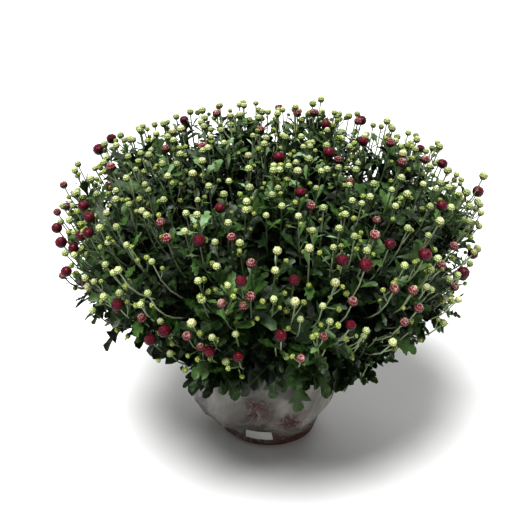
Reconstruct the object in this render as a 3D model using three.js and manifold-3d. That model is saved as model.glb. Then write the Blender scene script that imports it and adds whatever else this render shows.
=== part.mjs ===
// Pot chrysanthemum: a garden mum in bud. Leafy stems fan out of the soil in a nursery pot, and a loose
// film sleeve with a blank label stands round the pot. Millimetres, +Z up, from the centre of the pot's foot.
import * as THREE from "three";
import { mergeVertices } from "three/addons/utils/BufferGeometryUtils.js";
import Module from "manifold-3d";

const wasm = await Module();
wasm.setup();

// Pot
const POT_HEIGHT = 125;
const POT_RIM_RADIUS = 75;
const POT_FOOT_RADIUS = 54;
const POT_WALL = 2;
const RIM_BAND_HEIGHT = 16;
const RIM_STEP = 2.5;
const FLOOR_THICKNESS = 3;
const DRAIN_HOLES = 6;
const DRAIN_RADIUS = 5;
const DRAIN_RING = 34;
const POT_SEGMENTS = 24;

// Soil
const SOIL_TOP = 112;
const FIT_GAP = 0.5;
const STEM_DEPTH = 22;

// Film sleeve and its label
const SLEEVE_SEGMENTS = 24;
const SLEEVE_FILM = 0.8;
const SLEEVE_RADII = [
  { height: 10, radius: 57.4 },
  { height: 24, radius: 62 },
  { height: 46, radius: 76 },
  { height: 84, radius: 84 },
  { height: 118, radius: 78.3 },
  { height: 131, radius: 85 },
];
const SLEEVE_FOLDS = 7;
const SLEEVE_FOLD_DEPTH = 0.018;
const SLEEVE_FOLD_TWIST = 0.05;
const SLEEVE_LOOSE_HEIGHT = 25; // above the lower edge, where the folds reach their full depth
const SLEEVE_SAG = 0.11;
const SLEEVE_SAG_HEIGHT = 28;
const SLEEVE_SAG_SPREAD = 34;
const LABEL_WIDTH = 32;
const LABEL_HEIGHTS = [12, 24];
const LABEL_THICKNESS = 0.6;
const LABEL_STANDOFF = 0.9;
const LABEL_AZIMUTH = -1.78;
const LABEL_STEPS = 4;

// Crown: the surface that the buds reach, a squared ellipse turned about the axis, squarer above its waist
const CROWN_RADIUS = 230;
const CROWN_WAIST = 268;
const CROWN_RISE = 80;
const CROWN_DROP = 165;
const CROWN_SQUARENESS = 2.8;
const UNDERSIDE_SQUARENESS = 2.2;
const CROWN_LOWEST = 1.95;
const CROWN_STEPS = 240;
const RAGGED_DEPTH = 20;
const RAGGED_RISE = 5;
const STRAY_SHARE = 0.05;
const STRAY_REACH = 16;

// Stems, each with a dense middle, the core, that its leaves and stalks stand out of
const STEM_COUNT = 32;
const STEM_SPREAD = 56;
const STEM_RADIUS = 2.4;
const STEM_RISING = 0.36;
const STEM_ARRIVING = 0.33;
const STEM_SIDES = 5;
const STEM_RINGS = [-1, 0, 0.28, 0.46];
const CORE_RADIUS = 25;
const CORE_RINGS = [
  [CORE_RADIUS, 0.76],
  [0.75 * CORE_RADIUS, 0.92],
];

// Stalks and buds
const STALK_LENGTH = 22;
const STALK_RADIUS = 1.2;
const STALK_SUNK = 10;
const STALK_DROP = 0.75;
const STALK_FAN = 0.6;
const SPRAY_RADIUS = 56;
const BUD_PLACES = 15;
const BUD_ORDER = [0, 8, 9, 10, 11, 12, 13, 14, 1, 2, 3, 4, 5, 6, 7]; // top, outer ring, inner one
const BUDS_PER_STEM = 5;
const BUD_STAGES = [
  { share: 0.46, radius: 4.1 },
  { share: 0.7, radius: 5.0 },
  { share: 0.84, radius: 5.5 },
  { share: 1, radius: 6.7 },
];

// Leaves
const LEAF_PLACES = 13;
const LEAF_STRIDE = 5;
const LEAVES_PER_STEM = 4;
const LEAF_STATIONS = [0.52, 0.97];
const LEAF_LOWEST = 114;
const LEAF_LENGTH = 56;
const LEAF_LEAN = 0.8;
const LEAF_SUNK = 3;
const LEAF_THICKNESS = 0.8;
const LEAF_DROOP = 0.28;
const LEAF_FOLD = 0.25;
const LEAF_EDGE = [
  [0.035, 0],
  [0.045, 0.15],
  [0.31, 0.43],
  [0.15, 0.55],
  [0.27, 0.76],
];

const BAND_FOOT = POT_HEIGHT - RIM_BAND_HEIGHT;
const CLEARANCE = 0.45;
const GOLDEN_TURN = Math.PI * (3 - Math.sqrt(5));
const UP = new THREE.Vector3(0, 0, 1);
const CROWN_CENTRE = new THREE.Vector3(0, 0, CROWN_WAIST);

const COLOURS = {
  pot: { color: 0x5a2f26, roughness: 0.6 },
  soil: { color: 0x2b2019, roughness: 1 },
  film: { color: 0xb9b6b2, roughness: 0.35 },
  label: { color: 0xf2f2f0, roughness: 0.7 },
  foliage: { color: 0x35552a, roughness: 0.7 },
};

// A number from 0 to 1 that is always the same for the same stem, place and purpose.
function draw(stem, place, purpose) {
  const wave = Math.sin(stem * 12.9898 + place * 78.233 + purpose * 37.719) * 43758.5453;
  return wave - Math.floor(wave);
}

function solid(geometry) {
  const bare = geometry.clone();
  bare.deleteAttribute("normal");
  bare.deleteAttribute("uv");
  const merged = mergeVertices(bare, 1e-4);
  return new wasm.Manifold(
    new wasm.Mesh({
      numProp: 3,
      vertProperties: merged.attributes.position.array,
      triVerts: new Uint32Array(merged.index.array),
    }),
  );
}

function geometryOf(manifold) {
  const mesh = manifold.getMesh();
  const geometry = new THREE.BufferGeometry();
  geometry.setAttribute("position", new THREE.BufferAttribute(mesh.vertProperties, 3));
  geometry.setIndex(new THREE.BufferAttribute(mesh.triVerts, 1));
  geometry.computeVertexNormals();
  return geometry;
}

function meshOf(name, geometry, finish) {
  const material = new THREE.MeshStandardMaterial({ metalness: 0, ...finish });
  const mesh = new THREE.Mesh(geometry, material);
  mesh.name = name;
  return mesh;
}

// Turns a profile of [radius, height] pairs, outermost side going up, about +Z.
function turned(profile, segments) {
  const points = profile.map(([radius, height]) => new THREE.Vector2(radius, height));
  return new THREE.LatheGeometry(points, segments).rotateX(Math.PI / 2);
}

// ---- Pot ----

function potRadius(height) {
  const widening = POT_RIM_RADIUS - RIM_STEP - POT_FOOT_RADIUS;
  return POT_FOOT_RADIUS + (widening * height) / BAND_FOOT;
}

function buildPot() {
  const profile = [
    [0, 0],
    [POT_FOOT_RADIUS, 0],
    [potRadius(BAND_FOOT), BAND_FOOT],
    [POT_RIM_RADIUS, BAND_FOOT + 1],
    [POT_RIM_RADIUS + 1, POT_HEIGHT],
    [POT_RIM_RADIUS - POT_WALL, POT_HEIGHT],
    [potRadius(BAND_FOOT) - POT_WALL, BAND_FOOT + 1],
    [potRadius(FLOOR_THICKNESS) - POT_WALL, FLOOR_THICKNESS],
    [0, FLOOR_THICKNESS],
  ];
  let pot = solid(turned(profile, POT_SEGMENTS));
  for (let i = 0; i < DRAIN_HOLES; i++) {
    const turn = (i * 2 * Math.PI) / DRAIN_HOLES;
    const drill = new THREE.CylinderGeometry(DRAIN_RADIUS, DRAIN_RADIUS, 4 * FLOOR_THICKNESS, 8)
      .rotateX(Math.PI / 2)
      .translate(DRAIN_RING * Math.cos(turn), DRAIN_RING * Math.sin(turn), 0);
    pot = pot.subtract(solid(drill));
  }
  return pot;
}

function buildSoil(holes) {
  const foot = FLOOR_THICKNESS + FIT_GAP;
  const inside = (height) => potRadius(height) - POT_WALL - FIT_GAP;
  const profile = [
    [0, foot],
    [inside(foot), foot],
    [inside(BAND_FOOT), BAND_FOOT],
    [STEM_SPREAD + 6, SOIL_TOP],
    [0, SOIL_TOP],
  ];
  return holes.reduce((soil, hole) => soil.subtract(hole), solid(turned(profile, POT_SEGMENTS)));
}

// ---- Film sleeve and label ----

// The sleeve's radius before it has folds.
function roundRadius(height) {
  const next = Math.max(1, SLEEVE_RADII.findIndex((ring) => ring.height >= height - 0.01));
  const [below, above] = [SLEEVE_RADII[next - 1], SLEEVE_RADII[next]];
  const along = (height - below.height) / (above.height - below.height);
  return below.radius + (above.radius - below.radius) * along;
}

// The sleeve's radius at a height and azimuth: a loose bag with soft upright folds, slumped low on its left.
function sleeveRadius(height, azimuth) {
  const looseness = Math.min(1, (height - SLEEVE_RADII[0].height) / SLEEVE_LOOSE_HEIGHT);
  const folds = SLEEVE_FOLD_DEPTH * (1 + Math.cos(SLEEVE_FOLDS * azimuth + height * SLEEVE_FOLD_TWIST));
  const slump = Math.exp(-(((height - SLEEVE_SAG_HEIGHT) / SLEEVE_SAG_SPREAD) ** 2));
  const sag = SLEEVE_SAG * slump * (1 - Math.cos(azimuth));
  return roundRadius(height) * (1 + looseness * (folds + sag));
}

function buildSleeve() {
  const outer = SLEEVE_RADII.map(({ height, radius }) => [radius, height]);
  const inner = [...SLEEVE_RADII].reverse().map(({ height, radius }) => [radius - SLEEVE_FILM, height]);
  const geometry = turned([...outer, ...inner, outer[0]], SLEEVE_SEGMENTS);
  const places = geometry.attributes.position;
  for (let i = 0; i < places.count; i++) {
    const azimuth = Math.atan2(places.getY(i), places.getX(i));
    const loosened = sleeveRadius(places.getZ(i), azimuth) - roundRadius(places.getZ(i));
    const radius = Math.hypot(places.getX(i), places.getY(i)) + loosened;
    places.setXYZ(i, radius * Math.cos(azimuth), radius * Math.sin(azimuth), places.getZ(i));
  }
  return solid(geometry);
}

function buildLabel() {
  const [low, high] = LABEL_HEIGHTS;
  const geometry = new THREE.BoxGeometry(LABEL_WIDTH, high - low, LABEL_THICKNESS, LABEL_STEPS, 1, 1);
  const places = geometry.attributes.position;
  for (let i = 0; i < places.count; i++) {
    const height = (low + high) / 2 + places.getY(i);
    const azimuth = LABEL_AZIMUTH + places.getX(i) / sleeveRadius(height, LABEL_AZIMUTH);
    const radius = sleeveRadius(height, azimuth) + LABEL_STANDOFF + places.getZ(i);
    places.setXYZ(i, radius * Math.cos(azimuth), radius * Math.sin(azimuth), height);
  }
  return solid(geometry);
}

// ---- Crown: where the stems and buds end ----

function crownReach(sine, cosine) {
  const tall = cosine > 0 ? CROWN_RISE : CROWN_DROP;
  const squareness = cosine > 0 ? CROWN_SQUARENESS : UNDERSIDE_SQUARENESS;
  const sum = Math.abs(sine / CROWN_RADIUS) ** squareness + Math.abs(cosine / tall) ** squareness;
  return sum ** (-1 / squareness);
}

// The angle from the vertical above which this share of the crown's surface lies.
function crownAngle(share) {
  const areas = [0];
  let last = [0, CROWN_RISE];
  for (let i = 1; i <= CROWN_STEPS; i++) {
    const angle = (CROWN_LOWEST * i) / CROWN_STEPS;
    const reach = crownReach(Math.sin(angle), Math.cos(angle));
    const here = [reach * Math.sin(angle), reach * Math.cos(angle)];
    const slant = Math.hypot(here[0] - last[0], here[1] - last[1]);
    areas.push(areas[i - 1] + slant * (here[0] + last[0]));
    last = here;
  }
  const place = areas.findIndex((area) => area >= share * areas[CROWN_STEPS]);
  return (CROWN_LOWEST * place) / CROWN_STEPS;
}

// Where the ray from the crown's centre towards a point meets the crown.
function onCrown(point) {
  const way = point.clone().sub(CROWN_CENTRE).normalize();
  const reach = crownReach(Math.hypot(way.x, way.y), way.z);
  return { neck: way.clone().multiplyScalar(reach).add(CROWN_CENTRE), way };
}

// The stem's own numbers: its upright plane, its foot in the soil, its tip on the crown and the way between.
function stemPlan(stem) {
  const share = (stem + 0.5) / STEM_COUNT;
  const azimuth = stem * GOLDEN_TURN;
  const out = new THREE.Vector3(Math.cos(azimuth), Math.sin(azimuth), 0);
  const side = new THREE.Vector3().crossVectors(UP, out);
  const angle = crownAngle(share);
  const reach = crownReach(Math.sin(angle), Math.cos(angle));
  const offset = [reach * Math.sin(angle), reach * Math.cos(angle)];
  const tip = CROWN_CENTRE.clone().addScaledVector(out, offset[0]).addScaledVector(UP, offset[1]);
  const tall = offset[1] > 0 ? CROWN_RISE : CROWN_DROP;
  const normal = new THREE.Vector3()
    .addScaledVector(out, offset[0] / CROWN_RADIUS ** 2)
    .addScaledVector(UP, offset[1] / tall ** 2)
    .normalize();
  const collar = out.clone().multiplyScalar(STEM_SPREAD * Math.sqrt(share));
  collar.z = SOIL_TOP + 1;
  const chord = tip.clone().sub(collar).normalize();
  const heading = chord.multiplyScalar(0.5).addScaledVector(normal, 0.3);
  heading.addScaledVector(UP, 0.45).normalize();
  const end = tip.clone().addScaledVector(heading, -STALK_LENGTH);
  const length = end.distanceTo(collar);
  const rising = collar.clone().addScaledVector(UP, length * STEM_RISING);
  const arriving = end.clone().addScaledVector(heading, -length * STEM_ARRIVING);
  const path = new THREE.CubicBezierCurve3(collar, rising, arriving, end);
  return { stem, side, tip, normal, collar, path, length };
}

// A point of the stem and its frame there: station -1 is its foot, 0 the soil's top and 1 the stem's end.
function stemFrame({ collar, path, side }, station) {
  const above = Math.max(0, station);
  const point = station < 0 ? collar.clone().addScaledVector(UP, station * STEM_DEPTH) : path.getPoint(above);
  const tangent = path.getTangent(above);
  const outward = new THREE.Vector3().crossVectors(side, tangent).normalize();
  const round = (turn) => {
    return side.clone().multiplyScalar(Math.cos(turn)).addScaledVector(outward, Math.sin(turn));
  };
  return { point, tangent, outward, round };
}

// Turns a profile of [radius, station] pairs about a line that then bends along the stem.
function grown(plan, profile, sides) {
  const points = profile.map(([radius, station]) => new THREE.Vector2(radius, station));
  const geometry = new THREE.LatheGeometry(points, sides, Math.PI / sides);
  const places = geometry.attributes.position;
  for (let i = 0; i < places.count; i++) {
    const { point, outward } = stemFrame(plan, places.getY(i));
    point.addScaledVector(plan.side, places.getX(i)).addScaledVector(outward, places.getZ(i));
    places.setXYZ(i, point.x, point.y, point.z);
  }
  return solid(geometry);
}

// The stem's plain foot, which is also, a gap wider, its hole in the soil.
function stemHole(plan) {
  const radius = STEM_RADIUS + FIT_GAP;
  const foot = -1 - FIT_GAP / STEM_DEPTH;
  return grown(plan, [[0, foot], [radius, foot], [radius, 0], [0, 0]], STEM_SIDES);
}

// A stem with the dense middle of its foliage, out of which its leaves and stalks stand.
function stemWithCore(plan) {
  const bare = STEM_RINGS.map((station) => [STEM_RADIUS, station]);
  return grown(plan, [[0, -1], ...bare, ...CORE_RINGS, [0, 1]], STEM_SIDES);
}

// How far the middle of the core's flat sides lies from the stem's line at a station.
function coreInside(station) {
  const rings = [[0, STEM_RINGS.at(-1)], ...CORE_RINGS, [0, 1]];
  const above = rings.findIndex((ring) => ring[1] > station);
  const [low, high] = [rings[above - 1], rings[above]];
  const corner = low[0] + ((high[0] - low[0]) * (station - low[1])) / (high[1] - low[1]);
  return corner * Math.cos(Math.PI / STEM_SIDES);
}

// Bud number place of a stem: 0 is the top bud, the rest fill a disc round it like seeds in a flower head.
function budPlan(plan, place) {
  const ring = SPRAY_RADIUS * Math.sqrt(place / (BUD_PLACES - 0.5));
  const turn = place * GOLDEN_TURN + 2 * Math.PI * draw(plan.stem, 0, 1);
  const along = new THREE.Vector3().crossVectors(plan.side, plan.normal).normalize();
  const spread = plan.side.clone().multiplyScalar(Math.cos(turn)).addScaledVector(along, Math.sin(turn));
  const { neck, way } = onCrown(plan.tip.clone().addScaledVector(spread, ring));
  const stray = draw(plan.stem, place, 3) < STRAY_SHARE ? STRAY_REACH : 0;
  neck.addScaledVector(way, RAGGED_RISE + stray - RAGGED_DEPTH * draw(plan.stem, place, 2));
  const station = 1 - (STALK_SUNK + STALK_DROP * ring) / plan.length;
  const { point, round } = stemFrame(plan, station);
  const root = point.addScaledVector(round(turn), STALK_FAN * coreInside(station));
  const pick = draw(plan.stem, place, 5);
  const stage = BUD_STAGES.find(({ share }) => pick < share);
  const radius = stage.radius * (0.92 + 0.16 * draw(plan.stem, place, 6));
  return { root, neck, radius };
}

// A bud turned on the end of its stalk, both about the stalk's own line.
function stalkedBud({ root, neck, radius }) {
  const length = neck.distanceTo(root);
  const profile = [
    [0, 0],
    [STALK_RADIUS, 0],
    [STALK_RADIUS, length],
    [radius * 1.12, length + radius * 0.8],
    [radius * 0.85, length + radius * 1.55],
    [0, length + radius * 1.9],
  ];
  const way = neck.clone().sub(root).normalize();
  const turn = new THREE.Quaternion().setFromUnitVectors(UP, way);
  return solid(turned(profile, 4).applyQuaternion(turn).translate(root.x, root.y, root.z));
}

// ---- Leaves ----

// Leaf number place of a stem: its root in the core, its length, its midrib's way and the way its face looks.
function leafPlan(plan, place) {
  const share = (place + 0.5) / LEAF_PLACES;
  const station = LEAF_STATIONS[0] + (LEAF_STATIONS[1] - LEAF_STATIONS[0]) * share;
  const { point, tangent, round } = stemFrame(plan, station);
  const outward = round(place * GOLDEN_TURN + 2 * Math.PI * draw(plan.stem, 1, 7));
  const lean = LEAF_LEAN * (1.25 - 0.5 * share) * (0.85 + 0.3 * draw(plan.stem, place, 8));
  const way = tangent.clone().multiplyScalar(Math.cos(lean)).addScaledVector(outward, Math.sin(lean));
  const face = tangent.clone().multiplyScalar(0.6).addScaledVector(UP, 0.6);
  face.addScaledVector(way, -face.dot(way)).normalize();
  const length = LEAF_LENGTH * (1.1 - 0.35 * share) * (0.85 + 0.3 * draw(plan.stem, place, 9));
  const root = point.addScaledVector(outward, Math.max(0, coreInside(station) - LEAF_SUNK));
  return { root, way, face, length };
}

function leafOutline(length) {
  const left = [...LEAF_EDGE].reverse().map(([across, along]) => [-across, along]);
  const outline = [...LEAF_EDGE, [0, 1], ...left];
  const points = outline.map(([across, along]) => new THREE.Vector2(across * length, along * length));
  return new THREE.Shape(points);
}

function leafBlade({ root, way, face, length }) {
  const options = { depth: LEAF_THICKNESS, bevelEnabled: false };
  const geometry = new THREE.ExtrudeGeometry(leafOutline(length), options);
  const places = geometry.attributes.position;
  for (let i = 0; i < places.count; i++) {
    const along = places.getY(i) / length;
    const lift = LEAF_FOLD * Math.abs(places.getX(i)) - LEAF_DROOP * along * along * length;
    places.setZ(i, places.getZ(i) - LEAF_THICKNESS / 2 + lift);
  }
  const across = new THREE.Vector3().crossVectors(way, face);
  const placed = new THREE.Matrix4().makeBasis(across, way, face);
  return solid(geometry.applyMatrix4(placed).translate(root.x, root.y, root.z));
}

// ---- Growing: each stem takes the buds and leaves that clear every other piece ----

function boxed(piece) {
  return { solid: piece, box: piece.boundingBox() };
}

function boxesMeet(a, b) {
  return [0, 1, 2].every((k) => a.min[k] - CLEARANCE < b.max[k] && b.min[k] - CLEARANCE < a.max[k]);
}

function isClear(piece, others) {
  const meeting = others.filter(({ box }) => boxesMeet(piece.box, box));
  return meeting.every((other) => piece.solid.minGap(other.solid, CLEARANCE) >= CLEARANCE);
}

function growAll(plans, holders) {
  const counts = { buds: 0, leaves: 0, tried: 0 };
  const stems = plans.map((plan) => ({ plan, pieces: [boxed(stemWithCore(plan))], ...counts }));
  const others = (stem) => stems.filter((one) => one !== stem).flatMap(({ pieces }) => pieces);
  const add = (stem, piece) => {
    const clear = isClear(piece, [...holders, ...others(stem), ...stem.pieces.slice(1)]);
    if (clear) stem.pieces.push(piece);
    return clear;
  };
  for (const place of BUD_ORDER) {
    for (const stem of stems) {
      if (stem.buds === BUDS_PER_STEM) continue;
      if (add(stem, boxed(stalkedBud(budPlan(stem.plan, place))))) stem.buds += 1;
    }
  }
  for (let count = 1; count <= LEAVES_PER_STEM; count++) {
    for (const stem of stems) {
      while (stem.leaves < count && stem.tried < LEAF_PLACES) {
        const place = (stem.tried * LEAF_STRIDE + stem.plan.stem) % LEAF_PLACES;
        const leaf = boxed(leafBlade(leafPlan(stem.plan, place)));
        if (leaf.box.min[2] > LEAF_LOWEST && add(stem, leaf)) stem.leaves += 1;
        stem.tried += 1;
      }
    }
  }
  return stems;
}

// ---- The whole plant ----

const pot = buildPot();
const sleeve = buildSleeve();
const label = buildLabel();
const plans = Array.from({ length: STEM_COUNT }, (_, stem) => stemPlan(stem));
const soil = buildSoil(plans.map(stemHole));
const stems = growAll(plans, [pot, soil, sleeve, label].map(boxed));

const plant = new THREE.Group();
plant.add(meshOf("pot", geometryOf(pot), COLOURS.pot));
plant.add(meshOf("soil", geometryOf(soil), COLOURS.soil));
plant.add(meshOf("film_sleeve", geometryOf(sleeve), COLOURS.film));
plant.add(meshOf("label", geometryOf(label), COLOURS.label));
for (const { plan, pieces } of stems) {
  const whole = pieces.reduce((joined, piece) => joined.add(piece.solid), pieces[0].solid);
  const name = `leafy_stem_${String(plan.stem + 1).padStart(2, "0")}`;
  plant.add(meshOf(name, geometryOf(whole), COLOURS.foliage));
}

export default plant;
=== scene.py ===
"""A garden mum in bud: leafy stems with round buds, in a nursery pot inside a loose film sleeve.

Metres, +Z up. The pot stands on z = 0 and the label is on the -Y side. The stems grow by the same rules as
the solid ones, so every finer leaf, stalk and bud stands where its solid stands, and the places that the
solids leave empty are filled by the same rules.
"""
import math

import bmesh
import bpy
from mathutils import Matrix, Vector, noise


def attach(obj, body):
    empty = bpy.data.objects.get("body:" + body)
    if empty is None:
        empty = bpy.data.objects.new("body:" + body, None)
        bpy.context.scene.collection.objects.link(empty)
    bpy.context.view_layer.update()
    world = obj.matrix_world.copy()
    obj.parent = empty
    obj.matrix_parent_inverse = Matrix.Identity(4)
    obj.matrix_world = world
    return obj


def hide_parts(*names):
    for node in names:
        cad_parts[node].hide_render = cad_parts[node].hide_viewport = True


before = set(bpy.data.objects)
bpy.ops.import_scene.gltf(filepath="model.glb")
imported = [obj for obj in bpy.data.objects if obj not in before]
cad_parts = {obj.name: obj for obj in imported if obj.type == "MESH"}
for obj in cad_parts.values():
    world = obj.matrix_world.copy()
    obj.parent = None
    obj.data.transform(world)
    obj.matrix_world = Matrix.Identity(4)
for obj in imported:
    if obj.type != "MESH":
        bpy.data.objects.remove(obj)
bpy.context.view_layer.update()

GOLDEN_ANGLE = math.pi * (3 - math.sqrt(5))
UP = Vector((0, 0, 1))

# ---------- sizes, metres

# Nursery pot and what fills it
POT_HEIGHT = 0.125
POT_RIM_RADIUS = 0.075
POT_LIP_RADIUS = 0.076
POT_FOOT_RADIUS = 0.054
POT_WALL = 0.002
RIM_BAND_HEIGHT = 0.016
RIM_STEP = 0.0025
FLOOR_THICKNESS = 0.003
DRAIN_HOLES = 6
DRAIN_RADIUS = 0.005
DRAIN_RING = 0.034
SOIL_TOP = 0.112
FIT_GAP = 0.0005
STEM_DEPTH = 0.022

# Film sleeve: radius of the sleeve at each height
SLEEVE_RADII = [
    (0.010, 0.0574), (0.024, 0.062), (0.046, 0.076), (0.084, 0.084), (0.118, 0.0783), (0.131, 0.085),
]
SLEEVE_TOP = SLEEVE_RADII[-1][0]
SLEEVE_FOLDS = 7
FOLD_DEPTH = 0.018
FOLD_TWIST = 50.0
LOOSE_HEIGHT = 0.025
SAG = 0.11
SAG_HEIGHT = 0.028
SAG_SPREAD = 0.034
FILM_THICKNESS = 0.0004
FILM_CLEARANCE = 0.0008
HEM_LOW_AZIMUTH = math.radians(-170)
HEM_HEIGHTS = (0.0035, 0.0115)
# Places where the film is drawn in against the pot: azimuth in degrees, height and reach
DENTS = [
    (-101, 0.064, 0.011), (-74, 0.047, 0.012), (-18, 0.064, 0.013), (48, 0.070, 0.015), (118, 0.050, 0.013),
    (176, 0.074, 0.014),
]
DENT_DEPTH = 0.004
DENT_RAYS = 7
DENT_RAY_HEIGHT = 0.0014
LABEL_WIDTH = 0.032
LABEL_FOOT = 0.012
LABEL_TOP = 0.024
LABEL_STANDOFF = 0.0005
LABEL_AZIMUTH = -1.78
LABEL_SPREAD = 0.42
LABEL_BACK = 0.0575
LABEL_SLOPE = 0.16

# Crown: a flattened dome over a deeper underside
CENTRE = Vector((0, 0, 0.268))
CROWN_RADIUS = 0.230
CROWN_RISE = 0.080
CROWN_DROP = 0.165
CROWN_SQUARENESS = 2.8
UNDERSIDE_SQUARENESS = 2.2
CROWN_LOWEST = 1.95
CROWN_STEPS = 240
RAGGED_DEPTH = 0.020
RAGGED_RISE = 0.005
STRAY_SHARE = 0.05
STRAY_REACH = 0.016

# Stems
STEM_COUNT = 32
COLLAR_RISE = 0.001
LEAN_ALONG, LEAN_OUT, LEAN_UP = 0.5, 0.3, 0.45
STEM_SPREAD = 0.056
STEM_RADIUS = 0.0024
STEM_RISING = 0.36
STEM_ARRIVING = 0.33
STALK_LENGTH = 0.022
SPRAY_RADIUS = 0.056
BUD_PLACES = 15

# Large leaves. Their lean and length also change from the lowest to the highest
LEAF_PLACES = 13
LEAF_STATIONS = (0.52, 0.97)
LEAF_LENGTH = 0.056
LEAF_LENGTHENING = (1.1, 0.75)
LEAF_LEAN = 0.8
LEAF_LEANING = (1.25, 0.75)
LEAF_ROOT = 0.012
LEAF_STRIDE_BACK = 8
FIRST_LEAVES = 5
LATER_LEAF_SIZE = 0.6


# ---------- rules of growth


# Each purpose of a draw on a stem has a number of its own
DRAWS = {
    "spray_turn": 1, "ragged": 2, "stray": 3, "stage": 5, "bud_size": 6, "leaf_turn": 7, "leaf_lean": 8,
    "leaf_length": 9, "leaf_model": 21, "leaf_tone": 22, "leaf_width": 23, "leaf_cover": 24, "inner_turn": 31,
    "inner_drop": 32, "inner_length": 33, "side_bud": 41, "bud_turn": 42, "bud_tone": 43, "twig_start": 44,
    "twig_turn": 45, "twig_length": 46, "twig_bud_size": 47, "bare": 48, "young_start": 51, "young_turn": 52,
    "young_lean": 53, "young_length": 54, "young_lobed": 55, "young_dropped": 56, "stalk_tone": 61,
    "old_height": 71, "old_sway": 72, "old_reach": 73, "old_length": 74, "old_model": 75, "old_tone": 76,
    "old_width": 77, "old_azimuth": 78,
}


def draw(stem, place, purpose):
    """A fixed draw from 0 to 1 for one place on one stem."""
    wave = math.sin(stem * 12.9898 + place * 78.233 + purpose * 37.719) * 43758.5453
    return wave - math.floor(wave)


def between(low, high, share):
    return low + (high - low) * share


def clamp(value):
    """A value kept from 0 to 1."""
    return min(1.0, max(0.0, value))


def varied(share):
    """From 15 % under one to 15 % over it."""
    return 0.85 + 0.3 * share


def polar(radius, azimuth, height):
    """The point at a radius, an azimuth and a height."""
    return radius * math.cos(azimuth), radius * math.sin(azimuth), height


def leaning(along, out, lean):
    """A direction that leans from one direction to another at right angles to it."""
    return (along * math.cos(lean) + out * math.sin(lean)).normalized()


def crosswise(along, turn):
    """A direction at right angles to another, turned about it."""
    return Matrix.Rotation(turn, 3, along) @ along.orthogonal().normalized()


def cubic(points, t):
    a, b, c, d = points
    return a * (1 - t) ** 3 + b * (3 * t * (1 - t) ** 2) + c * (3 * t * t * (1 - t)) + d * t**3


def cubic_slope(points, t):
    a, b, c, d = points
    return ((b - a) * (1 - t) ** 2 + (c - b) * (2 * t * (1 - t)) + (d - c) * (t * t)).normalized()


def crown_reach(sine, cosine):
    """How far the crown's surface is from its centre, in a direction."""
    tall = CROWN_RISE if cosine > 0 else CROWN_DROP
    squareness = CROWN_SQUARENESS if cosine > 0 else UNDERSIDE_SQUARENESS
    total = abs(sine / CROWN_RADIUS) ** squareness + abs(cosine / tall) ** squareness
    return total ** (-1 / squareness)


def crown_angles():
    """The surface of the crown above each of many angles from its top, added up from the top."""
    areas = [0.0]
    last = (0.0, crown_reach(0, 1))
    for step in range(1, CROWN_STEPS + 1):
        angle = CROWN_LOWEST * step / CROWN_STEPS
        reach = crown_reach(math.sin(angle), math.cos(angle))
        here = (reach * math.sin(angle), reach * math.cos(angle))
        slant = math.hypot(here[0] - last[0], here[1] - last[1])
        areas.append(areas[-1] + slant * (here[0] + last[0]))
        last = here
    return areas


CROWN_AREAS = crown_angles()


def crown_angle(share):
    wanted = share * CROWN_AREAS[-1]
    step = next(i for i, area in enumerate(CROWN_AREAS) if area >= wanted)
    return CROWN_LOWEST * step / CROWN_STEPS


def on_crown(point):
    """The point of the crown's surface in the direction of a point, and that direction."""
    way = (point - CENTRE).normalized()
    return CENTRE + way * crown_reach(math.hypot(way.x, way.y), way.z), way


def crown_depth(point):
    """How far inside the crown's surface a point is."""
    way = (point - CENTRE).normalized()
    return crown_reach(math.hypot(way.x, way.y), way.z) - (point - CENTRE).length


class MainStem:
    """One main stem: the curve that it follows out of the soil, and the places of what grows on it."""

    def __init__(self, number):
        self.number = number
        share = (number + 0.5) / STEM_COUNT
        azimuth = number * GOLDEN_ANGLE
        out = Vector(polar(1, azimuth, 0))
        self.side = UP.cross(out)
        angle = crown_angle(share)
        reach = crown_reach(math.sin(angle), math.cos(angle))
        level, rise = reach * math.sin(angle), reach * math.cos(angle)
        self.tip = CENTRE + out * level + UP * rise
        tall = CROWN_RISE if rise > 0 else CROWN_DROP
        self.normal = (out * (level / CROWN_RADIUS**2) + UP * (rise / tall**2)).normalized()
        self.collar = out * (STEM_SPREAD * math.sqrt(share)) + UP * (SOIL_TOP + COLLAR_RISE)
        chord = (self.tip - self.collar).normalized()
        heading = (chord * LEAN_ALONG + self.normal * LEAN_OUT + UP * LEAN_UP).normalized()
        self.end = self.tip - heading * STALK_LENGTH
        self.length = (self.end - self.collar).length
        rising = self.collar + UP * (self.length * STEM_RISING)
        arriving = self.end - heading * (self.length * STEM_ARRIVING)
        self.curve = (self.collar, rising, arriving, self.end)

    def draw(self, place, purpose, part=0):
        """A fixed draw from 0 to 1 for what grows at a place, and for a part of it."""
        return draw(self.number, place, DRAWS[purpose] + 0.1 * part)

    def turn(self, place, purpose):
        return 2 * math.pi * self.draw(place, purpose)

    def at(self, station):
        """The stem's point and its direction at a share of its length."""
        return cubic(self.curve, station), cubic_slope(self.curve, station)

    def round(self, station, turn):
        """The direction across the stem at a station, turned about it."""
        outward = self.side.cross(cubic_slope(self.curve, station)).normalized()
        return self.side * math.cos(turn) + outward * math.sin(turn)

    def neck(self, place):
        """Where a bud's stalk ends, on the crown, how far that is from the spray's middle, and its turn."""
        ring = SPRAY_RADIUS * math.sqrt(place / (BUD_PLACES - 0.5))
        turn = place * GOLDEN_ANGLE + self.turn(0, "spray_turn")
        along = self.side.cross(self.normal).normalized()
        spread = self.side * math.cos(turn) + along * math.sin(turn)
        neck, way = on_crown(self.tip + spread * ring)
        stray = STRAY_REACH if self.draw(place, "stray") < STRAY_SHARE else 0
        rise = RAGGED_RISE + stray - RAGGED_DEPTH * self.draw(place, "ragged")
        return neck + way * rise, ring, turn


# ---------- hand modelling


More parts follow.
